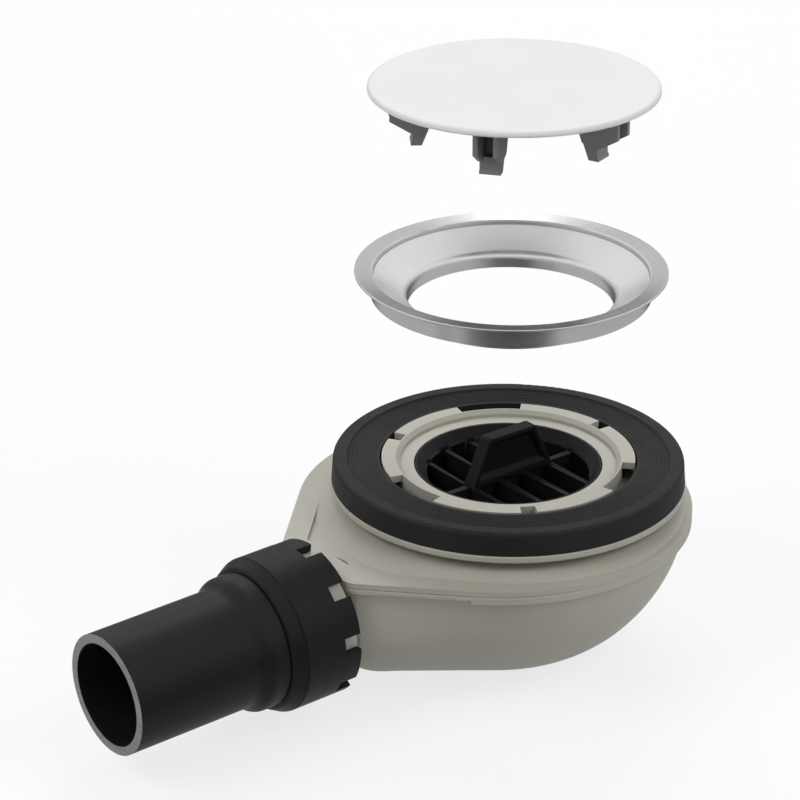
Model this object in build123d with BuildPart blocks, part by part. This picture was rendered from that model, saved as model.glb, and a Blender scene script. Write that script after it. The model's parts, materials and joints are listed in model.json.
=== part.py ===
"""Shower trap: a two-part welded bowl with a tray seal, a hair comb, a lift-out dip tube,
a steel flange ring with its funnel liner, a clip-in cover and a compression outlet.

Millimetres, +Z up. The drain axis is the Z axis, the outlet runs along +X, and the
underside of the bowl is z = 0. The flange ring and the cover stand lifted off, one above
the other, at the height where they are shown.
"""
import os
from math import cos, radians, sin, sqrt, tan

from build123d import *

# Drain stack heights over the base
seal_top_z = 80.9
seal_thickness = 9.75
rim_thickness = 3.25
collar_top_z = 80.2
ledge_z = 77.3
flange_top_z = 61.8
flange_sheet = 2.7
lower_flange_sheet = 1.7

# Housing plan: a round end and a nose towards the outlet
round_centre_x = 6.9
round_radius = 82.75
nose_corner_x = 92.8
nose_corner_y = 19.1
nose_corner_r = 8.0
nose_corner_least_r = 3.0
nose_flank_angle = 45.0
weld_groove = 0.45
round_lip = 1.4
round_lip_end_x = 66.0

# Bowl: a quarter-ellipse flank under the flange, and a nose that draws back towards the base.
# Each section has its height as a share of the flange height, and the place of its nose corner
# as shares of the flange corner's x and y.
bowl_wall = 3.0
flank_drop = 73.5
flank_flat_r = 23.0
flange_overhang = 0.45
bowl_sections = (
    (0.0, 0.323, 0.042),
    (0.028, 0.539, 0.042),
    (0.105, 0.7, 0.209),
    (0.244, 0.857, 0.55),
    (0.47, 0.973, 0.942),
    (0.732, 0.993, 1.047),
    (1.0, 0.995, 1.052),
)

# Weir that holds the water seal
weir_x = 58.0
weir_thickness = 2.5
weir_crest_z = 45.0

# Outlet: axis, socket, nut and pipe, by station along the axis
outlet_axis_z = 40.5
outlet_fall = 1.4
socket_back = 101.3
socket_wall = 2.7
socket_end = 122.0
socket_r = 29.0
socket_bore_r = 25.4
waterway_r = 18.6
stub_wall = 3.4
stub_start = 66.0
nut_rear = 101.6
nut_front = 133.0
nut_r = 32.6
nut_bore_clearance = 0.4
nut_hole_r = 25.4
nut_shoulder = 127.4
nut_shoulder_groove = 0.5
nut_nose_r = 29.6
nut_front_round = 2.0
nut_notch_count = 9
nut_notch_width = 6.9
nut_notch_depth = 7.6
nut_notch_turn = 83.9
pipe_r = 25.0
pipe_wall = 3.7
pipe_end = 201.4
pipe_seat_gap = 0.3
bead_r = 28.3
bead_start = 133.3
bead_end = 144.8
bead_slope = 4.0
bead_round = 5.0
bead_foot_round = 5.0
slip_gap = 0.2
outlet_seal_length = 4.0
washer_thickness = 1.4

# Dome, neck, rim and collar of the upper housing
dome_top_z = 65.9
dome_slope = 0.3
neck_r = 66.0
housing_wall = 3.0
rim_r = 74.5
rim_edge_round = 0.9
border_width = 9.6
pocket_depth = 1.4
dome_edge_inset = 2.4
plug_inset = 6.8
plug_depth = 1.6
cavity_r = 78.0
collar_r = 47.8
collar_mouth_r = 47.2
socket_seat_r = 45.6
seat_cone_z = 78.6
seat_bore_r = 39.6
seat_bore_bottom_z = 69.1
seat_lip_r = 38.3
seat_lip_thickness = 3.0
seat_tube_wall = 3.0
lug_r = 53.2
lug_thickness = 3.0
lug_gap_count = 3
lug_gap_angle = 30.8
lug_slot_angle = 7.3
slit_x = 98.2
slit_y = 3.6
slit_radius = 9.1
slit_width = 1.3
slit_angle = 72.0
slit_depth = 1.5

# Tray seal
seal_top_r = 73.6
seal_bottom_r = 74.3
seal_bore_r = 54.0
seal_edge_round = 1.7
seal_band_inner_r = 66.8
seal_band_step = 1.0
seal_rib_count = 7
seal_rib_pitch = 1.6
seal_rib_first_r = 56.0
seal_rib_width = 0.9
seal_rib_height = 0.3

# Dip tube and its ring seal
dip_r = 38.0
dip_wall = 2.0
dip_bottom_z = 15.0
dip_flange_r = 39.2
dip_flange_top_z = 73.2
dip_groove_r = 37.3
dip_groove_z = 70.1
dip_groove_width = 2.0
ring_seal_chamfer = 0.6
dip_seal_gap = 0.1

# Hair comb
comb_rim_r = 39.2
comb_top_z = 77.2
comb_dish_r = 38.4
comb_throat_r = 34.2
comb_throat_top_z = 72.9
comb_bottom_z = 64.0
comb_tube_wall = 1.4
comb_bar_top_z = 72.4
comb_bar_pitch = 13.6
comb_bar_count = 4
comb_bar_width = 2.2
comb_rib_width = 2.8
handle_base_x = 21.5
handle_top_x = 12.4
handle_top_z = 92.4
handle_thickness = 6.4
handle_web = 1.8
handle_frame = 2.2
handle_corner = 2.2
handle_draft = 30.0

# Travel from the lifted place down to the seat
ring_lift = 70.85
ring_seat_gap = 0.3
cover_lift = 71.8

# Flange ring of pressed steel, lifted
ring_edge_rise = 2.75
ring_height = 10.25
ring_edge_r = 64.15
ring_dish = 0.9
ring_sheet = 1.0
ring_skirt_r = 57.6
ring_bend = 0.8
ring_edge_round = 0.4

# Funnel liner, lifted with the ring
liner_wall = 1.8
liner_height = 13.95
liner_lip = 0.5
liner_cone_slope = 0.596
liner_throat_r = 42.4
liner_throat_bend = 4.0
liner_fit = 0.1

# Cover and its clips, lifted
cover_r = 58.7
cover_rise = 8.0
cover_thickness = 2.4
cover_top_round = 1.6
cover_under_round = 0.6
clip_count = 5
clip_first_angle = 37.8
carrier_inner_r = 30.0
carrier_outer_r = 52.0
carrier_thickness = 2.0
leg_length = 21.6
foot_inner_r = 37.0
foot_outer_r = 40.8
foot_width = 8.6
foot_hook = 0.6
foot_hook_height = 2.0
foot_height = 7.0
leg_inner_top_r = 32.0
leg_lean_height = 12.4
leg_width = 10.0
shelf_reach = 9.2
shelf_seat_gap = 0.3
side_plate = 1.9

# Heights and radii that follow
flank_reach = round_radius - flange_overhang - flank_flat_r
seal_bottom_z = seal_top_z - seal_thickness
rim_bottom_z = seal_bottom_z - rim_thickness
parting_z = flange_top_z - flange_sheet
flange_bottom_z = parting_z - lower_flange_sheet
pocket_floor_z = flange_top_z - pocket_depth
liner_bottom_z = ledge_z + ring_seat_gap + ring_lift
liner_top_z = liner_bottom_z + liner_height
ring_edge_z = liner_top_z + ring_edge_rise
ring_skirt_bottom_z = ring_edge_z - ring_height
cover_under_z = liner_top_z + cover_lift + cover_rise
foot_bottom_z = cover_under_z - leg_length
foot_shoulder_z = foot_bottom_z + foot_height
leg_inner_top_z = foot_bottom_z + leg_lean_height
shelf_outer_r = foot_outer_r + shelf_reach
liner_throat_outer_r = liner_throat_r + liner_wall
nut_seat = socket_end + outlet_seal_length + washer_thickness
ring_skirt_inner_r = ring_skirt_r - ring_sheet
liner_r = ring_skirt_inner_r - liner_fit
liner_mouth_r = liner_r - liner_lip
liner_throat_z = liner_top_z - (liner_mouth_r - liner_throat_r) * liner_cone_slope
liner_cone_wall = liner_wall * sqrt(1 + liner_cone_slope ** 2)
dome_wall = housing_wall * sqrt(1 + dome_slope ** 2)
plug_bottom_z = parting_z - plug_depth
seat_tube_r = seat_bore_r + seat_tube_wall
lug_bottom_z = collar_top_z - lug_thickness
seal_rib_floor_z = seal_top_z - seal_band_step
outlet_dir = Vector(cos(radians(outlet_fall)), 0, -sin(radians(outlet_fall)))
outlet_origin = (0, 0, outlet_axis_z)
outlet_axis = Axis(outlet_origin, outlet_dir)
outlet_section = Plane(outlet_origin, x_dir=outlet_dir, z_dir=(0, -1, 0))
outlet_face = Plane(outlet_origin, x_dir=(0, 1, 0), z_dir=outlet_dir)


def flank_radius(z, wall):
    """Radius of the bowl's round end at a height, this far inside its skin."""
    rise = (flank_drop - z) / (flank_drop - wall)
    return flank_flat_r + (flank_reach - wall) * sqrt(max(0.0, 1.0 - rise * rise))


def bowl_outline(section, wall, top_z):
    """Outline of one section, this far inside the bowl's skin, of a form that ends at top_z."""
    height_share, corner_x_share, corner_y_share = section
    z = wall + height_share * (top_z - wall)
    corner_x = corner_x_share * nose_corner_x
    corner_y = corner_y_share * nose_corner_y
    with BuildSketch(Plane.XY.offset(z)) as outline:
        with BuildLine():
            CenterArc((round_centre_x, 0), flank_radius(z, wall), 0, 360)
            CenterArc((corner_x, corner_y), nose_corner_r - wall, 0, 360)
            CenterArc((corner_x, -corner_y), nose_corner_r - wall, 0, 360)
        make_hull()
    return outline.sketch


def flange_outline(inset):
    """Plan outline of the weld flange, this far inside its edge."""
    corner_r = max(nose_corner_least_r, nose_corner_r - inset)
    shift = nose_corner_r - inset - corner_r
    corner_x = nose_corner_x + shift
    corner_y = nose_corner_y + tan(radians(nose_flank_angle / 2)) * shift
    with BuildSketch() as outline:
        with BuildLine():
            CenterArc((round_centre_x, 0), round_radius - inset, 0, 360)
            CenterArc((corner_x, corner_y), corner_r, 0, 360)
            CenterArc((corner_x, -corner_y), corner_r, 0, 360)
        make_hull()
    return outline.sketch


def profile(points, section=Plane.XZ):
    """Closed profile of straight sides in a plane through an axis."""
    with BuildSketch(section) as face:
        with BuildLine():
            Polyline(*points, close=True)
        make_face()
    return face.sketch


os.makedirs("parts", exist_ok=True)

# Lower bowl with its weld flange, weir and outlet stub
with BuildPart() as bowl_hollow:
    for section in bowl_sections:
        add(bowl_outline(section, bowl_wall, parting_z))
    loft()

with BuildPart() as lower_bowl:
    for section in bowl_sections:
        add(bowl_outline(section, 0, flange_bottom_z))
    loft()
    with BuildSketch(Plane.XY):
        Rectangle(2 * pipe_end, 2 * pipe_end)
    extrude(amount=-bowl_wall, mode=Mode.SUBTRACT)
    with BuildSketch(outlet_face.offset(stub_start)):
        Circle(waterway_r + stub_wall)
    extrude(amount=socket_back - stub_start)
    with BuildSketch(Plane.XY.offset(flange_bottom_z)):
        Rectangle(2 * pipe_end, 2 * pipe_end)
    extrude(amount=pipe_end, mode=Mode.SUBTRACT)
    with BuildSketch(Plane.XY.offset(flange_bottom_z)):
        add(flange_outline(0))
    extrude(amount=lower_flange_sheet)
    with BuildSketch(Plane.XY.offset(flange_bottom_z)):
        add(flange_outline(0))
        with Locations((round_lip_end_x, 0)):
            Rectangle(2 * round_radius, 2 * round_radius, align=(Align.MIN, Align.CENTER), mode=Mode.SUBTRACT)
    extrude(amount=-round_lip)
    flange_rim = lower_bowl.faces().sort_by(Axis.Z)[-1].outer_wire().edges()
    chamfer(flange_rim, weld_groove)
    add(bowl_hollow.part, mode=Mode.SUBTRACT)
    with BuildSketch(outlet_face.offset(stub_start)):
        Circle(waterway_r)
    extrude(amount=socket_back - stub_start, mode=Mode.SUBTRACT)
    with BuildPart(mode=Mode.PRIVATE) as weir:
        with BuildSketch(Plane.YZ.offset(weir_x)):
            with Locations((0, weir_crest_z / 2)):
                Rectangle(2 * round_radius, weir_crest_z)
        extrude(amount=weir_thickness)
        add(bowl_hollow.part, mode=Mode.INTERSECT)
    add(weir.part)
lower_bowl.part.label = "lower_bowl"
export_step(lower_bowl.part, "parts/lower_bowl.step")

# Outlet socket on the end of the stub, which takes the pipe and carries the nut
with BuildPart() as outlet_socket:
    with BuildSketch(outlet_face.offset(socket_back)):
        Circle(socket_r)
        Circle(waterway_r, mode=Mode.SUBTRACT)
    extrude(amount=socket_end - socket_back)
    with BuildSketch(outlet_face.offset(socket_back + socket_wall)):
        Circle(socket_bore_r)
    extrude(amount=socket_end - socket_back, mode=Mode.SUBTRACT)
outlet_socket.part.label = "outlet_socket"
export_step(outlet_socket.part, "parts/outlet_socket.step")

# Upper housing: weld flange, dome, neck, rim and the collar with its lugs
with BuildPart() as upper_housing:
    with BuildSketch(Plane.XY.offset(parting_z)):
        add(flange_outline(0))
    extrude(amount=flange_sheet)
    chamfer(upper_housing.faces().sort_by(Axis.Z)[0].edges(), weld_groove)
    with BuildSketch(Plane.XY.offset(plug_bottom_z)):
        add(flange_outline(plug_inset))
    extrude(amount=plug_depth)
    with BuildSketch(Plane.XY.offset(pocket_floor_z)):
        add(flange_outline(border_width))
    extrude(amount=pocket_depth, mode=Mode.SUBTRACT)
    with BuildSketch(Plane.XY.offset(pocket_floor_z - slit_depth)):
        slit_start = 180 - slit_angle / 2
        slit_arc = CenterArc((slit_x, slit_y), slit_radius, slit_start, slit_angle, mode=Mode.PRIVATE)
        SlotArc(slit_arc, slit_width)
    extrude(amount=slit_depth, mode=Mode.SUBTRACT)
    with BuildPart(mode=Mode.PRIVATE) as dome:
        with BuildSketch(Plane.XY.offset(parting_z)):
            add(flange_outline(dome_edge_inset))
        extrude(amount=dome_top_z - parting_z)
        dome_foot_r = neck_r + (dome_top_z - parting_z) / dome_slope
        revolve(
            profile([(0, parting_z), (0, dome_top_z), (neck_r, dome_top_z), (dome_foot_r, parting_z)]),
            mode=Mode.INTERSECT,
        )
    add(dome.part)
    revolve(profile([(0, parting_z), (neck_r, parting_z), (neck_r, rim_bottom_z), (0, rim_bottom_z)]))
    revolve(profile([(0, rim_bottom_z), (rim_r, rim_bottom_z), (rim_r, seal_bottom_z), (0, seal_bottom_z)]))
    rim_edges = upper_housing.edges().filter_by(GeomType.CIRCLE).filter_by_position(
        Axis.Z, rim_bottom_z, seal_bottom_z
    )
    fillet(rim_edges.group_by(SortBy.RADIUS)[-1], rim_edge_round)
    revolve(
        profile([(0, seal_bottom_z), (collar_r, seal_bottom_z), (collar_r, lug_bottom_z), (0, lug_bottom_z)])
    )
    revolve(profile([(0, lug_bottom_z), (lug_r, lug_bottom_z), (lug_r, collar_top_z), (0, collar_top_z)]))
    with BuildPart(mode=Mode.PRIVATE) as cavity:
        with BuildSketch(Plane.XY.offset(plug_bottom_z)):
            add(flange_outline(plug_inset + housing_wall))
        extrude(amount=rim_bottom_z - plug_bottom_z)
        neck_bore_r = neck_r - housing_wall
        roof_z = dome_top_z - dome_wall
        revolve(
            profile([
                (seat_tube_r, plug_bottom_z),
                (seat_tube_r, rim_bottom_z),
                (neck_bore_r, rim_bottom_z),
                (neck_bore_r, roof_z + housing_wall * dome_slope),
                (cavity_r, roof_z - (cavity_r - neck_r) * dome_slope),
                (cavity_r, plug_bottom_z),
            ]),
            mode=Mode.INTERSECT,
        )
    add(cavity.part, mode=Mode.SUBTRACT)
    seat_lip_bottom_z = seat_bore_bottom_z - seat_lip_thickness
    revolve(
        profile([
            (0, plug_bottom_z),
            (seat_tube_r, plug_bottom_z),
            (seat_tube_r, seat_lip_bottom_z),
            (0, seat_lip_bottom_z),
        ]),
        mode=Mode.SUBTRACT,
    )
    revolve(
        profile([
            (0, seat_lip_bottom_z),
            (seat_lip_r, seat_lip_bottom_z),
            (seat_lip_r, seat_bore_bottom_z),
            (seat_bore_r, seat_bore_bottom_z),
            (seat_bore_r, ledge_z),
            (socket_seat_r, ledge_z),
            (socket_seat_r, seat_cone_z),
            (collar_mouth_r, collar_top_z),
            (0, collar_top_z),
        ]),
        mode=Mode.SUBTRACT,
    )
    with BuildSketch(Plane.XY.offset(lug_bottom_z)):
        with PolarLocations(0, lug_gap_count):
            gap_half = lug_r * tan(radians(lug_gap_angle / 2))
            Polygon((0, 0), (lug_r, -gap_half), (lug_r + gap_half, 0), (lug_r, gap_half), align=None)
        with PolarLocations(0, lug_gap_count, start_angle=180 / lug_gap_count):
            slot_half = lug_r * tan(radians(lug_slot_angle / 2))
            Polygon((0, 0), (lug_r, -slot_half), (lug_r + slot_half, 0), (lug_r, slot_half), align=None)
        Circle(collar_r, mode=Mode.SUBTRACT)
    extrude(amount=lug_thickness, mode=Mode.SUBTRACT)
upper_housing.part.label = "upper_housing"
export_step(upper_housing.part, "parts/upper_housing.step")

# Tray seal with its concentric ribs
with BuildPart() as tray_seal:
    rib_line = []
    for index in range(seal_rib_count):
        crest_r = seal_rib_first_r + index * seal_rib_pitch
        rib_line.append((crest_r - seal_rib_width / 2, seal_rib_floor_z))
        rib_line.append((crest_r, seal_rib_floor_z + seal_rib_height))
        rib_line.append((crest_r + seal_rib_width / 2, seal_rib_floor_z))
    revolve(
        profile([
            (seal_bottom_r, seal_bottom_z),
            (seal_bore_r, seal_bottom_z),
            (seal_bore_r, seal_rib_floor_z),
            *rib_line,
            (seal_band_inner_r, seal_rib_floor_z),
            (seal_band_inner_r + seal_band_step, seal_top_z),
            (seal_top_r, seal_top_z),
        ])
    )
    seal_top_edges = tray_seal.edges().filter_by(GeomType.CIRCLE).group_by(Axis.Z)[-1]
    fillet(seal_top_edges.sort_by(SortBy.RADIUS)[-1], seal_edge_round)
tray_seal.part.label = "tray_seal"
export_step(tray_seal.part, "parts/tray_seal.step")

# Dip tube that reaches below the weir crest
with BuildPart() as dip_tube:
    dip_bore_r = dip_r - dip_wall
    groove_top_z = dip_groove_z + dip_groove_width
    revolve(
        profile([
            (dip_bore_r, dip_bottom_z),
            (dip_r, dip_bottom_z),
            (dip_r, seat_bore_bottom_z),
            (dip_flange_r, seat_bore_bottom_z),
            (dip_flange_r, dip_groove_z),
            (dip_groove_r, dip_groove_z),
            (dip_groove_r, groove_top_z),
            (dip_flange_r, groove_top_z),
            (dip_flange_r, dip_flange_top_z),
            (dip_bore_r, dip_flange_top_z),
        ])
    )
dip_tube.part.label = "dip_tube"
export_step(dip_tube.part, "parts/dip_tube.step")

# Ring seal in the dip tube's groove
with BuildPart() as dip_tube_seal:
    seal_inner_r = dip_groove_r + dip_seal_gap
    seal_outer_r = seat_bore_r - dip_seal_gap
    with BuildSketch(Plane.XY.offset(dip_groove_z)):
        Circle(seal_outer_r)
        Circle(seal_inner_r, mode=Mode.SUBTRACT)
    extrude(amount=dip_groove_width)
    chamfer(dip_tube_seal.edges().filter_by(GeomType.CIRCLE).group_by(SortBy.RADIUS)[-1], ring_seal_chamfer)
dip_tube_seal.part.label = "dip_tube_seal"
export_step(dip_tube_seal.part, "parts/dip_tube_seal.step")

# Hair comb with its pull handle
with BuildPart() as comb_insert:
    comb_tube_r = comb_throat_r + comb_tube_wall
    revolve(
        profile([
            (comb_throat_r, comb_bottom_z),
            (comb_tube_r, comb_bottom_z),
            (comb_tube_r, dip_flange_top_z),
            (comb_rim_r, dip_flange_top_z),
            (comb_rim_r, comb_top_z),
            (comb_dish_r, comb_top_z),
            (comb_throat_r, comb_throat_top_z),
        ])
    )
    with BuildSketch(Plane.XY.offset(comb_bottom_z)):
        Rectangle(2 * comb_tube_r, comb_rib_width)
        with GridLocations(comb_bar_pitch, 0, comb_bar_count, 1):
            Rectangle(comb_bar_width, 2 * comb_tube_r)
        Circle((comb_throat_r + comb_tube_r) / 2, mode=Mode.INTERSECT)
    extrude(amount=comb_bar_top_z - comb_bottom_z)
    with BuildSketch(Plane.XZ) as handle_outline:
        Polygon(
            (-handle_base_x, comb_bar_top_z),
            (handle_base_x, comb_bar_top_z),
            (handle_top_x, handle_top_z),
            (-handle_top_x, handle_top_z),
            align=None,
        )
        fillet(handle_outline.vertices().group_by(Axis.Y)[-1], handle_corner)
    extrude(amount=handle_thickness / 2, both=True)
    for side in (Plane.XZ.offset(handle_thickness / 2), Plane.ZX.offset(handle_thickness / 2)):
        with BuildSketch(side):
            add(handle_outline.sketch_local)
            offset(amount=-handle_frame, kind=Kind.INTERSECTION)
        extrude(amount=-(handle_thickness - handle_web) / 2, taper=handle_draft, mode=Mode.SUBTRACT)
comb_insert.part.label = "comb_insert"
export_step(comb_insert.part, "parts/comb_insert.step")

# Flange ring: one pressed sheet, dished on top, with a skirt
with BuildPart() as flange_ring:
    skirt_top_z = ring_edge_z - ring_dish
    with BuildSketch(Plane.XZ) as ring_profile:
        with BuildLine():
            Polyline(
                (ring_edge_r, ring_edge_z),
                (ring_skirt_inner_r, skirt_top_z),
                (ring_skirt_inner_r, ring_skirt_bottom_z),
                (ring_skirt_r, ring_skirt_bottom_z),
                (ring_skirt_r, skirt_top_z - ring_sheet),
                (ring_edge_r, ring_edge_z - ring_sheet),
                close=True,
            )
        make_face()
        fillet(ring_profile.vertices().sort_by_distance((ring_skirt_inner_r, skirt_top_z))[0], ring_bend)
        fillet(ring_profile.vertices().group_by(Axis.X)[-1], ring_edge_round)
    revolve(axis=Axis.Z)
flange_ring.part.label = "flange_ring"
export_step(flange_ring.part, "parts/flange_ring.step")

# Funnel liner inside the ring's skirt
with BuildPart() as funnel_liner:
    cone_outer_z = liner_top_z - liner_lip * liner_cone_slope - liner_cone_wall
    throat_outer_z = cone_outer_z - (liner_r - liner_throat_outer_r) * liner_cone_slope
    with BuildSketch(Plane.XZ) as liner_profile:
        with BuildLine():
            Polyline(
                (liner_r, liner_top_z),
                (liner_mouth_r, liner_top_z),
                (liner_throat_r, liner_throat_z),
                (liner_throat_r, liner_bottom_z),
                (liner_throat_outer_r, liner_bottom_z),
                (liner_throat_outer_r, throat_outer_z),
                (liner_r, cone_outer_z),
                close=True,
            )
        make_face()
        throat_corner = liner_profile.vertices().sort_by_distance((liner_throat_r, liner_throat_z))[0]
        fillet(throat_corner, liner_throat_bend)
    revolve(axis=Axis.Z)
funnel_liner.part.label = "funnel_liner"
export_step(funnel_liner.part, "parts/funnel_liner.step")

# Cover disc
with BuildPart() as cover_disc:
    with BuildSketch(Plane.XY.offset(cover_under_z)):
        Circle(cover_r)
    extrude(amount=cover_thickness)
    fillet(cover_disc.edges().group_by(Axis.Z)[-1], cover_top_round)
    fillet(cover_disc.edges().group_by(Axis.Z)[0], cover_under_round)
cover_disc.part.label = "cover_disc"
export_step(cover_disc.part, "parts/cover_disc.step")

# Clip ring under the cover: a flat carrier and five channel legs
with BuildPart() as cover_clips:
    carrier_bottom_z = cover_under_z - carrier_thickness
    leg_lean = (foot_inner_r - leg_inner_top_r) / (leg_inner_top_z - foot_bottom_z)
    shoulder_inner_r = foot_inner_r - (foot_shoulder_z - foot_bottom_z) * leg_lean
    shelf_rise = cover_lift + shelf_seat_gap * sqrt(1 + liner_cone_slope ** 2)
    shelf_outer_z = liner_top_z - (liner_mouth_r - shelf_outer_r) * liner_cone_slope + shelf_rise
    shelf_inner_z = liner_top_z - (liner_mouth_r - foot_outer_r) * liner_cone_slope + shelf_rise
    with BuildSketch(Plane.XY.offset(carrier_bottom_z)):
        Circle(carrier_outer_r)
        Circle(carrier_inner_r, mode=Mode.SUBTRACT)
    extrude(amount=carrier_thickness)
    with BuildPart(mode=Mode.PRIVATE) as leg:
        with BuildSketch(Plane.XZ):
            with BuildLine():
                Polyline(
                    (foot_inner_r, foot_bottom_z),
                    (foot_outer_r + foot_hook, foot_bottom_z),
                    (foot_outer_r + foot_hook, foot_bottom_z + foot_hook_height / 2),
                    (foot_outer_r, foot_bottom_z + foot_hook_height),
                    (foot_outer_r, foot_shoulder_z),
                    (shoulder_inner_r, foot_shoulder_z),
                    close=True,
                )
            make_face()
        extrude(amount=foot_width / 2, both=True)
        with BuildSketch(Plane.XZ):
            with BuildLine():
                Polyline(
                    (shoulder_inner_r, foot_shoulder_z),
                    (shoulder_inner_r + side_plate, foot_shoulder_z),
                    (leg_inner_top_r + side_plate, leg_inner_top_z),
                    (leg_inner_top_r + side_plate, carrier_bottom_z),
                    (leg_inner_top_r, carrier_bottom_z),
                    (leg_inner_top_r, leg_inner_top_z),
                    close=True,
                )
            make_face()
        extrude(amount=leg_width / 2, both=True)
        for plate_start in (leg_width / 2 - side_plate, -leg_width / 2):
            with BuildSketch(Plane.XZ.offset(plate_start)):
                with BuildLine():
                    Polyline(
                        (shoulder_inner_r, foot_shoulder_z),
                        (foot_outer_r, shelf_inner_z),
                        (shelf_outer_r, shelf_outer_z),
                        (shelf_outer_r, carrier_bottom_z),
                        (leg_inner_top_r, carrier_bottom_z),
                        (leg_inner_top_r, leg_inner_top_z),
                        close=True,
                    )
                make_face()
            extrude(amount=side_plate)
    with PolarLocations(0, clip_count, start_angle=clip_first_angle):
        add(leg.part)
cover_clips.part.label = "cover_clips"
export_step(cover_clips.part, "parts/cover_clips.step")

# Union nut with its nine grip notches
with BuildPart() as union_nut:
    nut_bore_r = socket_r + nut_bore_clearance
    with BuildSketch(outlet_section) as nut_profile:
        with BuildLine():
            Polyline(
                (nut_rear, nut_bore_r),
                (nut_rear, nut_r),
                (nut_shoulder - nut_shoulder_groove, nut_r),
                (nut_shoulder, nut_r - nut_shoulder_groove),
                (nut_shoulder + nut_shoulder_groove, nut_r - nut_shoulder_groove / 2),
                (nut_front, nut_nose_r),
                (nut_front, nut_hole_r),
                (nut_seat, nut_hole_r),
                (nut_seat, nut_bore_r),
                close=True,
            )
        make_face()
        fillet(nut_profile.vertices().sort_by_distance((nut_front, nut_nose_r))[0], nut_front_round)
    revolve(axis=outlet_axis)
    with BuildSketch(outlet_face.offset(nut_rear)):
        with PolarLocations(nut_r, nut_notch_count, start_angle=nut_notch_turn):
            Rectangle(2 * (nut_r - socket_r), nut_notch_width)
    extrude(amount=nut_notch_depth, mode=Mode.SUBTRACT)
union_nut.part.label = "union_nut"
export_step(union_nut.part, "parts/union_nut.step")

# Outlet pipe with its stop bead
with BuildPart() as outlet_pipe:
    pipe_start = socket_back + socket_wall + pipe_seat_gap
    with BuildSketch(outlet_section) as pipe_profile:
        with BuildLine():
            Polyline(
                (pipe_start, pipe_r - pipe_wall),
                (pipe_start, pipe_r),
                (bead_start, pipe_r),
                (bead_start, bead_r),
                (bead_end - bead_slope, bead_r),
                (bead_end, pipe_r),
                (pipe_end, pipe_r),
                (pipe_end, pipe_r - pipe_wall),
                close=True,
            )
        make_face()
        fillet(pipe_profile.vertices().sort_by_distance((bead_end - bead_slope, bead_r))[0], bead_round)
        fillet(pipe_profile.vertices().sort_by_distance((bead_end, pipe_r))[0], bead_foot_round)
    revolve(axis=outlet_axis)
outlet_pipe.part.label = "outlet_pipe"
export_step(outlet_pipe.part, "parts/outlet_pipe.step")

# Rubber seal and slip washer that the nut presses on the pipe
with BuildPart() as outlet_seal:
    with BuildSketch(outlet_section):
        with BuildLine():
            Polyline(
                (socket_end, pipe_r + slip_gap),
                (socket_end, socket_r),
                (socket_end + outlet_seal_length, socket_r),
                (socket_end + outlet_seal_length, pipe_r + slip_gap),
                close=True,
            )
        make_face()
    revolve(axis=outlet_axis)
outlet_seal.part.label = "outlet_seal"
export_step(outlet_seal.part, "parts/outlet_seal.step")

with BuildPart() as slip_washer:
    with BuildSketch(outlet_face.offset(socket_end + outlet_seal_length)):
        Circle(socket_r)
        Circle(pipe_r + slip_gap, mode=Mode.SUBTRACT)
    extrude(amount=washer_thickness)
slip_washer.part.label = "slip_washer"
export_step(slip_washer.part, "parts/slip_washer.step")
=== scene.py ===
# %% [markdown]
# # A shower trap, taken apart above its drain
#
# The trap comes out of the CAD step as a set of solids that already have their real shapes and
# sizes. This lesson dresses them: it loads the solids as a fixed frame, gives each piece a finish
# made of shader nodes, works the comb's handle a little further, and sets up a pale studio with a
# camera that looks at the trap from above its outlet. The ring and the cover float over the drain,
# as in a maker's assembly picture.

# %% Load the frame
import json
from math import cos, radians, sin, tan

import bpy
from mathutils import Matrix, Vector

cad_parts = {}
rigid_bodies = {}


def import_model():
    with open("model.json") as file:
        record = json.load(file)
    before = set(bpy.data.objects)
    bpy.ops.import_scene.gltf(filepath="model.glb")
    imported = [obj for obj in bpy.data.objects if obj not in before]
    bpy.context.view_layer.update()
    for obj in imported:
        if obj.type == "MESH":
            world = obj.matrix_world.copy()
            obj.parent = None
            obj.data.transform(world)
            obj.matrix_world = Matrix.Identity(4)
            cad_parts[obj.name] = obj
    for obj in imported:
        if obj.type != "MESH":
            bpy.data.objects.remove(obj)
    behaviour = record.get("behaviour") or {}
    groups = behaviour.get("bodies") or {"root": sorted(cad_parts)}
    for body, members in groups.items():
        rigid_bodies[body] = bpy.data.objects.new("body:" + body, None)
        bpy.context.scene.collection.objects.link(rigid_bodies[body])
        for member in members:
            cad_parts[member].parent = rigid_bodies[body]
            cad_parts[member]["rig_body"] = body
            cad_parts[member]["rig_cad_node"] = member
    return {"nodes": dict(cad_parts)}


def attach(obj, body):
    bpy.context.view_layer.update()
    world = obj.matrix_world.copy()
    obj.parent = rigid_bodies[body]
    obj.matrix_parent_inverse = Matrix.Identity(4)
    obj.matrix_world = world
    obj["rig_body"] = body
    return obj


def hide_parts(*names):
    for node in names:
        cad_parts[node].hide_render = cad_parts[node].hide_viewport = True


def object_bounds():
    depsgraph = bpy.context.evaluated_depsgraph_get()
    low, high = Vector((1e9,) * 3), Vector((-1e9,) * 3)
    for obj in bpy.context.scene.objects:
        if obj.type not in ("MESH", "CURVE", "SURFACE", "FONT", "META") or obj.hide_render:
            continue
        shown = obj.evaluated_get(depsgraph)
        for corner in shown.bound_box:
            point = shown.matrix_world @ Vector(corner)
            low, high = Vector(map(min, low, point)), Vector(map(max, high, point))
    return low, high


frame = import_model()
cad_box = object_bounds()
nodes = frame["nodes"]
bpy.ops.object.select_all(action="DESELECT")
print("CAD box", cad_box)

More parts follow.
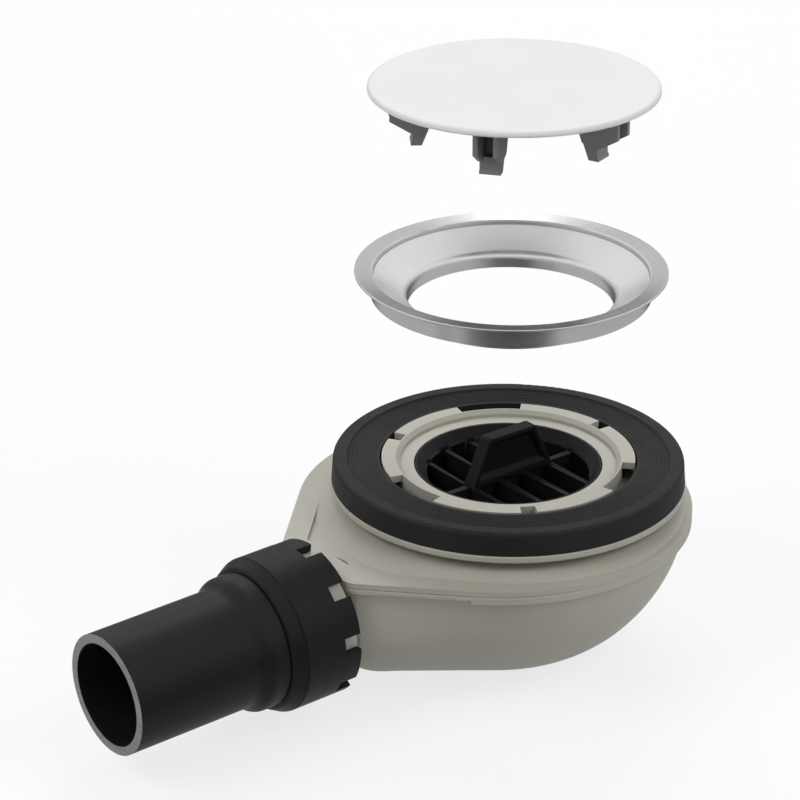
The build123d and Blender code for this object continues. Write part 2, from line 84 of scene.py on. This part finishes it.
# %% [markdown]
# ## Finishes
#
# A finish could be one flat colour, but moulded plastic, rubber and steel are never that even.
# Each finish below starts from a Principled shader. Noise on Object coordinates then shifts its
# colour and roughness a little, and a much finer noise raises a bump for the grain of the mould.
# Object coordinates are in metres here, so a noise scale of 1000 gives marks of about a millimetre.

# %% Helpers for colour and roughness
def start_finish(name):
    """A new material with only a Principled shader, ready for more nodes."""
    finish = bpy.data.materials.new(name)
    finish.use_nodes = True
    tree = finish.node_tree
    shader = tree.nodes["Principled BSDF"]
    return finish, tree, shader


def place_of(tree):
    """The socket that gives each point's place in the object's own frame."""
    return tree.nodes.new("ShaderNodeTexCoord").outputs["Object"]


def noise(tree, place, scale, detail=2.0):
    """A noise texture on a place socket."""
    node = tree.nodes.new("ShaderNodeTexNoise")
    node.inputs["Scale"].default_value = scale
    node.inputs["Detail"].default_value = detail
    tree.links.new(place, node.inputs["Vector"])
    return node.outputs["Fac"]


tone_range = (0.3, 0.7)


def two_tones(tree, factor, colour, shares):
    """A colour that a noise takes from a darker share of itself to a lighter one."""
    ramp = tree.nodes.new("ShaderNodeValToRGB")
    for stop, position, share in zip(ramp.color_ramp.elements, tone_range, shares):
        stop.position = position
        stop.color = (*(channel * share for channel in colour), 1.0)
    tree.links.new(factor, ramp.inputs["Fac"])
    return ramp.outputs["Color"]


def moved_range(tree, value, old_range, new_range):
    """A value moved from one range to another and kept inside the new one."""
    node = tree.nodes.new("ShaderNodeMapRange")
    node.inputs["From Min"].default_value, node.inputs["From Max"].default_value = old_range
    node.inputs["To Min"].default_value, node.inputs["To Max"].default_value = new_range
    tree.links.new(value, node.inputs["Value"])
    return node.outputs["Result"]


noise_range = (0.25, 0.75)
rough_swing = 0.05


def vary_roughness(tree, shader, factor, rough):
    """Let a noise swing the shader's roughness a little to both sides."""
    rough_range = (rough - rough_swing, rough + rough_swing)
    value = moved_range(tree, factor, noise_range, rough_range)
    tree.links.new(value, shader.inputs["Roughness"])


# %% Helpers for grain and for dressing a piece
def raise_grain(tree, shader, height, depth):
    """A bump of this depth in metres on the shader's normal."""
    bump = tree.nodes.new("ShaderNodeBump")
    bump.inputs["Strength"].default_value = 1.0
    bump.inputs["Distance"].default_value = depth
    tree.links.new(height, bump.inputs["Height"])
    tree.links.new(bump.outputs["Normal"], shader.inputs["Normal"])


def mixed_colours(tree, factor):
    """A mix of two colours by a factor, with its two colour sockets still open."""
    mix = tree.nodes.new("ShaderNodeMix")
    mix.data_type = "RGBA"
    tree.links.new(factor, mix.inputs["Factor"])
    return mix


def wear(piece, finish):
    """Put a finish in every material slot of a piece."""
    for slot in piece.material_slots:
        slot.material = finish
    print(piece.name, "wears", finish.name, "in", len(piece.material_slots), "slot(s)")


def dress(finish, *node_names):
    """Put a finish on CAD nodes."""
    for node_name in node_names:
        wear(nodes[node_name], finish)


# %% [markdown]
# ## Beige moulded housing
#
# The bowl and the upper housing are injection moulded and welded together at the flange. The
# plastic is a warm grey beige with a satin face. A slow noise gives the faint clouds of the melt,
# and a fine one the grain of the mould.

# %% Beige housing
cloud_scale = 28.0
rub_scale = 170.0


def moulded_plastic(
    name, colour, rough, gloss, cloud=0.04, grain_scale=1600.0, grain=0.00002, metal=0.0
):
    """Satin moulded plastic with a slight cloud and a fine grain."""
    finish, tree, shader = start_finish(name)
    place = place_of(tree)
    clouds = noise(tree, place, cloud_scale, detail=3.0)
    tint = two_tones(tree, clouds, colour, (1.0 - cloud, 1.0 + cloud))
    tree.links.new(tint, shader.inputs["Base Color"])
    vary_roughness(tree, shader, noise(tree, place, rub_scale, detail=4.0), rough)
    shader.inputs["Specular IOR Level"].default_value = gloss
    shader.inputs["Metallic"].default_value = metal
    raise_grain(tree, shader, noise(tree, place, grain_scale), grain)
    return finish


beige = (0.450, 0.438, 0.374)
beige_plastic = moulded_plastic("beige_housing_plastic", beige, rough=0.45, gloss=0.45)
dress(beige_plastic, "lower_bowl", "upper_housing", "outlet_socket")

# %% [markdown]
# ## Black rubber seals
#
# Rubber is duller than plastic. Its bump is coarser, and its sheen is low.

# %% Rubber
rubber_black = (0.0165, 0.0157, 0.0159)
seal_rubber = moulded_plastic(
    "seal_rubber", rubber_black, rough=0.6, gloss=0.18, cloud=0.12, grain_scale=900.0, grain=0.00003
)
dress(seal_rubber, "tray_seal", "dip_tube_seal", "outlet_seal")

# %% [markdown]
# ## Dark comb
#
# The comb is moulded in a plastic that is nearly black. It is smoother than the rubber. Its pull
# handle is a soft edged frame round a thin web, hollow on both faces. The solid has plain edges and
# one hollow. Drawing the comb anew would risk its fit, so a copy of the solid is worked on: a plane
# as large as the handle's face is tapered, inset by the frame and pushed in, a Boolean takes that
# shape out of the copy, and a bevel softens the handle's edges.

# %% Comb plastic and handle sizes
comb_grey = (0.0105, 0.0102, 0.0105)
comb_plastic = moulded_plastic("comb_dark_plastic", comb_grey, rough=0.42, gloss=0.08, cloud=0.1)

handle_half_foot = 0.0215
handle_half_top = 0.0124
handle_foot = 0.0724
handle_top = 0.0924
handle_half_thick = 0.0032
handle_frame = 0.0022
handle_middle = (handle_foot + handle_top) / 2
handle_height = handle_top - handle_foot
print("handle", 2 * handle_half_foot, "m wide and", handle_height, "m high")

# %% Helpers for selecting
def select_only(piece):
    """Make a piece the only one selected, and the active one."""
    bpy.ops.object.select_all(action="DESELECT")
    piece.select_set(True)
    bpy.context.view_layer.objects.active = piece


def pick_points(piece, wanted):
    """Go to edit mode with only the wanted points of a piece selected."""
    bpy.ops.object.mode_set(mode="EDIT")
    bpy.ops.mesh.select_mode(type="VERT")
    bpy.ops.mesh.select_all(action="DESELECT")
    bpy.ops.object.mode_set(mode="OBJECT")
    for point in piece.data.vertices:
        point.select = wanted(point.co)
    bpy.ops.object.mode_set(mode="EDIT")


# %% Face of the handle
cutter_proud = 0.0004
face_place = (0.0, handle_half_thick + cutter_proud, handle_middle)
face_turn = (radians(90.0), 0.0, 0.0)
top_share = handle_half_top / handle_half_foot
bpy.ops.object.select_all(action="DESELECT")
bpy.ops.mesh.primitive_plane_add(size=1.0, location=face_place, rotation=face_turn)
cutter = bpy.context.object
cutter.name = "handle_cutter"
cutter.scale = (2 * handle_half_foot, handle_height, 1.0)
bpy.ops.object.transform_apply(location=True, rotation=True, scale=True)
pick_points(cutter, lambda place: place.z > handle_middle)
bpy.ops.transform.resize(value=(top_share, 1.0, 1.0), center_override=(0.0, 0.0, handle_top))
bpy.ops.mesh.select_all(action="SELECT")
bpy.ops.mesh.inset(thickness=handle_frame)
bpy.ops.mesh.select_all(action="INVERT")
bpy.ops.mesh.delete(type="VERT")
print("face inside the frame starts", handle_frame, "m from the handle's edge")

# %% Cutter for the hollow
hollow_depth = 0.0023
hollow_draft = radians(30.0)
push = hollow_depth + cutter_proud
narrowing = push * tan(hollow_draft)
web_share_x = 1.0 - narrowing / (handle_half_foot - handle_frame)
web_share_z = 1.0 - 2 * narrowing / (handle_height - 2 * handle_frame)
bpy.ops.mesh.select_all(action="SELECT")
bpy.ops.mesh.extrude_region_move(TRANSFORM_OT_translate={"value": (0.0, -push, 0.0)})
bpy.ops.transform.resize(
    value=(web_share_x, 1.0, web_share_z), center_override=(0.0, 0.0, handle_middle)
)
bpy.ops.mesh.select_all(action="SELECT")
bpy.ops.mesh.normals_make_consistent(inside=False)
bpy.ops.object.mode_set(mode="OBJECT")
print("cutter faces", len(cutter.data.polygons))

# %% Comb with the hollow handle
merge_reach = 0.000001
select_only(nodes["comb_insert"])
bpy.ops.object.duplicate()
comb = bpy.context.object
comb.name = "comb_with_hollow_handle"
bpy.ops.object.parent_clear(type="CLEAR_KEEP_TRANSFORM")
del comb["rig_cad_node"]
del comb["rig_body"]
bpy.ops.object.mode_set(mode="EDIT")
bpy.ops.mesh.select_all(action="SELECT")
bpy.ops.mesh.remove_doubles(threshold=merge_reach)
bpy.ops.object.mode_set(mode="OBJECT")
bpy.ops.object.modifier_add(type="BOOLEAN")
hollow = comb.modifiers[-1]
hollow.operation = "DIFFERENCE"
hollow.solver = "EXACT"
hollow.object = cutter
bpy.ops.object.modifier_apply(modifier=hollow.name)
select_only(cutter)
bpy.ops.object.delete()
print("comb faces after the hollow", len(comb.data.polygons))

# %% [markdown]
# ## Soft handle edges
#
# A bevel runs cleanly only where few edges meet, so the flat faces of the handle are first made one
# face each. The rest of the comb keeps its triangles. The sharp edges are then narrowed down to
# those in the handle, off its middle, because the edges in its foot meet the bars.

# %% Which edges are soft
web_face = 0.0008
reach = 0.0001


def in_handle(place):
    """Whether a point of the comb belongs to its handle."""
    within_width = abs(place.x) < handle_half_foot + reach
    within_thickness = abs(place.y) < handle_half_thick + reach
    return place.z > handle_foot - reach and within_width and within_thickness


def on_soft_edge(places):
    """Whether an edge lies in the handle, off its middle and not along its foot."""
    off_middle = all(in_handle(place) and abs(place.y) > web_face for place in places)
    return off_middle and max(place.z for place in places) > handle_foot + reach


# %% Bevel
flat_angle = radians(0.5)
sharp_angle = radians(25.0)
soft_edge = 0.0007
soft_steps = 3
select_only(comb)
pick_points(comb, in_handle)
bpy.ops.mesh.dissolve_limited(angle_limit=flat_angle)
bpy.ops.mesh.select_mode(type="EDGE")
bpy.ops.mesh.select_all(action="DESELECT")
bpy.ops.mesh.edges_select_sharp(sharpness=sharp_angle)
bpy.ops.object.mode_set(mode="OBJECT")
points = comb.data.vertices
for edge in comb.data.edges:
    edge.select = edge.select and on_soft_edge([points[end].co for end in edge.vertices])
bpy.ops.object.mode_set(mode="EDIT")
bpy.ops.mesh.bevel(offset=soft_edge, segments=soft_steps, affect="EDGES")
bpy.ops.object.mode_set(mode="OBJECT")
bpy.ops.object.shade_smooth_by_angle(angle=sharp_angle)
wear(comb, comb_plastic)
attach(comb, "trap")
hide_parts("comb_insert")
print("comb faces", len(comb.data.polygons), "box", comb.dimensions)

# %% [markdown]
# ## Nut and pipe
#
# The nut is moulded. The pipe is drawn through a die, so its faint lines run along it: the same
# noise, stretched along the pipe's axis. A Mapping node scales before it turns, so one node turns
# the place to the pipe's slight fall, and a second one stretches it. The pipe's end is sawn off,
# and a sawn face is paler.

# %% Nut
outlet_black = (0.0088, 0.0086, 0.0088)
nut_plastic = moulded_plastic("nut_black_plastic", outlet_black, rough=0.46, gloss=0.16, cloud=0.1)
dress(nut_plastic, "union_nut", "dip_tube")

# %% Pipe
pipe_fall = radians(1.4)
pipe_cut = (0.2002, 0.2003)
pipe_sawn = (0.27, 0.27, 0.272)
pipe_rough = 0.46
pipe_gloss = 0.18
line_stretch = (6.0, 700.0, 700.0)
line_shares = (0.9, 1.1)
line_depth = 0.00001
saw_stretch = (40.0, 60.0, 900.0)
saw_shares = (0.8, 1.15)


def turned_place(tree, place, turn):
    """The place socket turned about the origin."""
    node = tree.nodes.new("ShaderNodeMapping")
    node.inputs["Rotation"].default_value = turn
    tree.links.new(place, node.inputs["Vector"])
    return node.outputs["Vector"]


def stretched(tree, place, stretch):
    """The place socket scaled, to draw a noise out along one way."""
    node = tree.nodes.new("ShaderNodeMapping")
    node.inputs["Scale"].default_value = stretch
    tree.links.new(place, node.inputs["Vector"])
    return node.outputs["Vector"]


def drawn_pipe(name, colour, cut_colour):
    """Black drawn pipe with faint lines along its axis and a paler sawn end."""
    finish, tree, shader = start_finish(name)
    along = turned_place(tree, place_of(tree), (0.0, -pipe_fall, 0.0))
    lines = noise(tree, stretched(tree, along, line_stretch), 1.0)
    tint = two_tones(tree, lines, colour, line_shares)
    saw_marks = noise(tree, stretched(tree, along, saw_stretch), 1.0, detail=3.0)
    sawn = two_tones(tree, saw_marks, cut_colour, saw_shares)
    station = tree.nodes.new("ShaderNodeSeparateXYZ")
    tree.links.new(along, station.inputs["Vector"])
    skin = mixed_colours(tree, moved_range(tree, station.outputs["X"], pipe_cut, (0.0, 1.0)))
    tree.links.new(tint, skin.inputs["A"])
    tree.links.new(sawn, skin.inputs["B"])
    tree.links.new(skin.outputs["Result"], shader.inputs["Base Color"])
    vary_roughness(tree, shader, lines, pipe_rough)
    shader.inputs["Specular IOR Level"].default_value = pipe_gloss
    raise_grain(tree, shader, lines, line_depth)
    return finish


pipe_plastic = drawn_pipe("pipe_black_plastic", outlet_black, pipe_sawn)
dress(pipe_plastic, "outlet_pipe")

# %% [markdown]
# ## Satin liner, pale cover and grey clips
#
# The funnel liner has a pale satin coat that shines like metal. The cover is a pale satin grey, and
# its clips are a darker grey.

# %% Liner, cover, clips
liner_pale = (0.66, 0.66, 0.655)
liner_rough = 0.32
liner_metal = 0.9
liner_coat = moulded_plastic(
    "liner_satin_coat",
    liner_pale,
    liner_rough,
    gloss=0.3,
    cloud=0.015,
    grain=0.000002,
    metal=liner_metal,
)
dress(liner_coat, "funnel_liner", "slip_washer")

cover_pale = (0.80, 0.80, 0.80)
cover_plastic = moulded_plastic(
    "cover_pale_plastic", cover_pale, rough=0.46, gloss=0.25, cloud=0.02
)
dress(cover_plastic, "cover_disc")

clip_grey = (0.24, 0.24, 0.245)
clip_plastic = moulded_plastic("clip_grey_plastic", clip_grey, rough=0.45, gloss=0.35, cloud=0.06)
dress(clip_plastic, "cover_clips")

# %% [markdown]
# ## Steel ring
#
# The flange ring is brushed as it turns, so its marks run around it. Noise on the radius and the
# height, with no angle in it, draws fine rings that stay true from every side. The grooves also
# stretch each highlight across them, so the shader is anisotropic, with the grooves as its tangent.
# Inside the bend the sheet is plain, and takes the pale tone of the funnel that it holds.

# %% Helpers for a turned piece
def vector_maths(tree, operation, first, second=None):
    """A vector operation, each side of which is a socket or a fixed vector."""
    node = tree.nodes.new("ShaderNodeVectorMath")
    node.operation = operation
    for socket, value in zip(node.inputs, (first, second)):
        if isinstance(value, tuple):
            socket.default_value = value
        elif value is not None:
            tree.links.new(value, socket)
    return node


def ring_radius(tree, place):
    """The distance of a point from the drain axis."""
    flat = vector_maths(tree, "MULTIPLY", place, (1.0, 1.0, 0.0)).outputs["Vector"]
    return vector_maths(tree, "LENGTH", flat).outputs["Value"]


def groove_way(tree, place):
    """The way that a groove about the drain axis runs at a point."""
    around = vector_maths(tree, "CROSS_PRODUCT", (0.0, 0.0, 1.0), place).outputs["Vector"]
    return vector_maths(tree, "NORMALIZE", around).outputs["Vector"]


# %% Steel
bend = (0.0568, 0.0574)
ring_scale = 3000.0
ring_shares = (0.95, 1.0)
ring_depth = 0.0000012
steel_grey = (0.62, 0.615, 0.61)
steel_rough = 0.26
highlight_stretch = 0.95
across_grooves = 0.25


def turned_steel(name, colour, rough):
    """Brushed steel with fine rings about the drain axis, and a pale wall inside the bend."""
    finish, tree, shader = start_finish(name)
    place = place_of(tree)
    radius = ring_radius(tree, place)
    height = tree.nodes.new("ShaderNodeSeparateXYZ")
    tree.links.new(place, height.inputs["Vector"])
    ring_place = tree.nodes.new("ShaderNodeCombineXYZ")
    tree.links.new(radius, ring_place.inputs["X"])
    tree.links.new(height.outputs["Z"], ring_place.inputs["Y"])
    rings = noise(tree, ring_place.outputs["Vector"], ring_scale)
    sheet = mixed_colours(tree, moved_range(tree, radius, bend, (0.0, 1.0)))
    sheet.inputs["A"].default_value = (*liner_pale, 1.0)
    tree.links.new(two_tones(tree, rings, colour, ring_shares), sheet.inputs["B"])
    tree.links.new(sheet.outputs["Result"], shader.inputs["Base Color"])
    for socket, wall, flange in (("Roughness", liner_rough, rough), ("Metallic", liner_metal, 1.0)):
        tree.links.new(moved_range(tree, radius, bend, (wall, flange)), shader.inputs[socket])
    tree.links.new(groove_way(tree, place), shader.inputs["Tangent"])
    shader.inputs["Anisotropic"].default_value = highlight_stretch
    shader.inputs["Anisotropic Rotation"].default_value = across_grooves
    raise_grain(tree, shader, rings, ring_depth)
    return finish


steel = turned_steel("polished_steel", steel_grey, steel_rough)
dress(steel, "flange_ring")

# %% [markdown]
# ## Studio
#
# A pale floor lies under the bowl. Its material shows near white to the camera and still takes the
# soft shadow of the trap. The world is white to the camera and to reflections, and gives a mild
# light from all round. Three wide lamps add the direction that models the shapes.

# %% Floor
floor_drop = 0.0005
floor_width = 30.0
floor_place = (0.0, 0.0, cad_box[0][2] - floor_drop)
bpy.ops.mesh.primitive_plane_add(size=floor_width, location=floor_place)
floor = bpy.context.object
floor.name = "studio_floor"
print("floor at", floor.location.z)

# %% Floor paint
floor_in_soft_light = (0.55, 0.55, 0.55, 1.0)
floor_in_view = (0.95, 0.95, 0.95, 1.0)
floor_rough = 0.8


def larger(tree, first, second):
    """The larger of two values."""
    node = tree.nodes.new("ShaderNodeMath")
    node.operation = "MAXIMUM"
    tree.links.new(first, node.inputs[0])
    tree.links.new(second, node.inputs[1])
    return node.outputs["Value"]


def rays_that_see_white(tree):
    """1 for camera, glossy and transmission rays, and 0 for the rays that carry soft light."""
    rays = tree.nodes.new("ShaderNodeLightPath").outputs
    seen = larger(tree, rays["Is Camera Ray"], rays["Is Glossy Ray"])
    return larger(tree, seen, rays["Is Transmission Ray"])


def studio_floor(name, shadow_share):
    """White floor: mostly its own light to the camera, and a share that takes shadow."""
    finish, tree, shader = start_finish(name)
    seen = rays_that_see_white(tree)
    paint = mixed_colours(tree, seen)
    paint.inputs["A"].default_value = floor_in_soft_light
    paint.inputs["B"].default_value = floor_in_view
    tree.links.new(paint.outputs["Result"], shader.inputs["Base Color"])
    shader.inputs["Roughness"].default_value = floor_rough
    glow = tree.nodes.new("ShaderNodeEmission")
    glow.inputs["Strength"].default_value = 1.0
    own_light = moved_range(tree, seen, (0.0, 1.0), (0.0, 1.0 - shadow_share))
    mix = tree.nodes.new("ShaderNodeMixShader")
    tree.links.new(own_light, mix.inputs["Fac"])
    tree.links.new(shader.outputs["BSDF"], mix.inputs[1])
    tree.links.new(glow.outputs["Emission"], mix.inputs[2])
    tree.links.new(mix.outputs["Shader"], tree.nodes["Material Output"].inputs["Surface"])
    return finish


floor.data.materials.append(studio_floor("studio_white", shadow_share=0.25))
print("floor wears", floor.data.materials[0].name)

# %% World
sky_light = 0.27
world = bpy.data.worlds.new("studio_world")
bpy.context.scene.world = world
world.use_nodes = True
sky_tree = world.node_tree
sky = sky_tree.nodes["Background"]
sky.inputs["Color"].default_value = (1.0, 1.0, 1.0, 1.0)
sky_level = moved_range(sky_tree, rays_that_see_white(sky_tree), (0.0, 1.0), (sky_light, 1.0))
sky_tree.links.new(sky_level, sky.inputs["Strength"])
print("world light", sky_light)


# %% Lamps
def soft_lamp(name, place, aim, width, watts):
    """A square area lamp at a place, turned to a point, that reflections don't show."""
    bpy.ops.object.light_add(type="AREA", location=place)
    lamp = bpy.context.object
    lamp.name = name
    lamp.data.size = width
    lamp.data.energy = watts
    lamp.rotation_euler = (Vector(aim) - Vector(place)).to_track_quat("-Z", "Y").to_euler()
    lamp.visible_glossy = False
    print(name, "at", tuple(place))
    return lamp


trap_middle = (0.02, 0.0, 0.11)
soft_lamp("back_lamp", (-1.0, -1.2, 1.6), trap_middle, width=1.4, watts=21.0)
soft_lamp("left_lamp", (1.2, -0.35, 1.2), trap_middle, width=1.0, watts=10.0)
soft_lamp("right_lamp", (-0.5, 1.15, 1.2), trap_middle, width=1.0, watts=10.0)

# %% [markdown]
# ## Cards for the steel
#
# Bright metal in an all white room looks like white paint. Photographers stand cards where only
# the metal can see them. Here a bright wall with a grey foot runs round the studio, a dark post
# with a bright strip above it stands behind the trap, and grey and dark cards lie on the floor.
# They show in reflections only.

# %% Helper for the cards
def seen_in_metal_only(card, name, brightness):
    """Make a stage card with an even brightness, which only reflections can see."""
    finish, _, shader = start_finish(name + "_paint")
    shader.inputs["Base Color"].default_value = (0.0, 0.0, 0.0, 1.0)
    shader.inputs["Specular IOR Level"].default_value = 0.0
    shader.inputs["Emission Color"].default_value = (1.0, 1.0, 1.0, 1.0)
    shader.inputs["Emission Strength"].default_value = brightness
    card.name = name
    card.data.materials.append(finish)
    card.visible_camera = False
    card.visible_diffuse = False
    card.visible_shadow = False
    card.visible_transmission = False
    print(name, "at", tuple(card.location), "brightness", brightness)


# %% Walls
wall_corners = 96
wall_foot_top = 0.9


def round_wall(name, radius, foot, top, brightness):
    """A round wall about the drain axis."""
    middle = (0.0, 0.0, (foot + top) / 2)
    bpy.ops.mesh.primitive_cylinder_add(
        vertices=wall_corners,
        radius=radius,
        depth=top - foot,
        end_fill_type="NOTHING",
        location=middle,
    )
    seen_in_metal_only(bpy.context.object, name, brightness)


round_wall("studio_wall_foot", radius=4.0, foot=0.0, top=wall_foot_top, brightness=0.3)
round_wall("studio_wall", radius=4.2, foot=wall_foot_top, top=9.0, brightness=1.1)

# %% Floor cards
camera_side = radians(50.3)
to_camera = Vector((cos(camera_side), sin(camera_side), 0.0))
card_dark = 0.02


def floor_card(name, away, size, brightness, lift=0.002, turn=0.0):
    """A square card just above the floor, out towards the camera."""
    place = to_camera * away + Vector((0.0, 0.0, lift))
    card_turn = (0.0, 0.0, camera_side + turn)
    bpy.ops.mesh.primitive_plane_add(size=size, location=place, rotation=card_turn)
    seen_in_metal_only(bpy.context.object, name, brightness)


floor_card("studio_floor_card", away=0.0, size=3.0, brightness=0.6, lift=0.001)
floor_card("studio_front_card", away=1.9, size=2.5, brightness=card_dark, turn=radians(45.0))
floor_card("studio_back_floor_card", away=-0.9, size=1.2, brightness=card_dark)

# %% Dark post
back_away = 3.8
post_top = 2.7


def behind_trap(height):
    """A place across from the camera, behind the trap."""
    return Vector((0.0, 0.0, height)) - to_camera * back_away


def back_card(name, width, foot, top, brightness):
    """An upright card behind the trap."""
    middle = behind_trap((foot + top) / 2)
    turn = (radians(90.0), 0.0, camera_side + radians(90.0))
    bpy.ops.mesh.primitive_plane_add(size=1.0, location=middle, rotation=turn)
    bpy.context.object.scale = (width, top - foot, 1.0)
    seen_in_metal_only(bpy.context.object, name, brightness)


back_card("studio_dark_step", width=0.9, foot=0.0, top=wall_foot_top, brightness=card_dark)
back_card("studio_dark_post", width=0.35, foot=wall_foot_top, top=post_top, brightness=card_dark)

# %% Bright strip
strip_height = 5.0
strip_place = behind_trap(post_top + strip_height / 2)
strip = soft_lamp("strip_lamp", strip_place, strip_place + to_camera, width=0.4, watts=26.0)
strip.data.shape = "RECTANGLE"
strip.data.size_y = strip_height
strip.visible_glossy = True
strip.visible_diffuse = False

# %% [markdown]
# ## Camera
#
# The camera stands about 1.3 metres from the drain, off the outlet's left, and looks down at about
# 25 degrees through a long lens. These values come from the ellipses of the round edges.

# %% Camera
camera_place = (0.75176, 0.90511, 0.64271)
camera_down = 24.535
camera_heading = 142.5
camera_lens = 139.77
camera_sensor = 36.0
camera_turn = (radians(90.0 - camera_down), 0.0, radians(camera_heading))
bpy.ops.object.camera_add(location=camera_place, rotation=camera_turn)
camera = bpy.context.object
camera.data.sensor_width = camera_sensor
camera.data.lens = camera_lens
bpy.context.scene.camera = camera
bpy.context.scene.view_settings.view_transform = "Standard"
print("camera", tuple(camera.location))
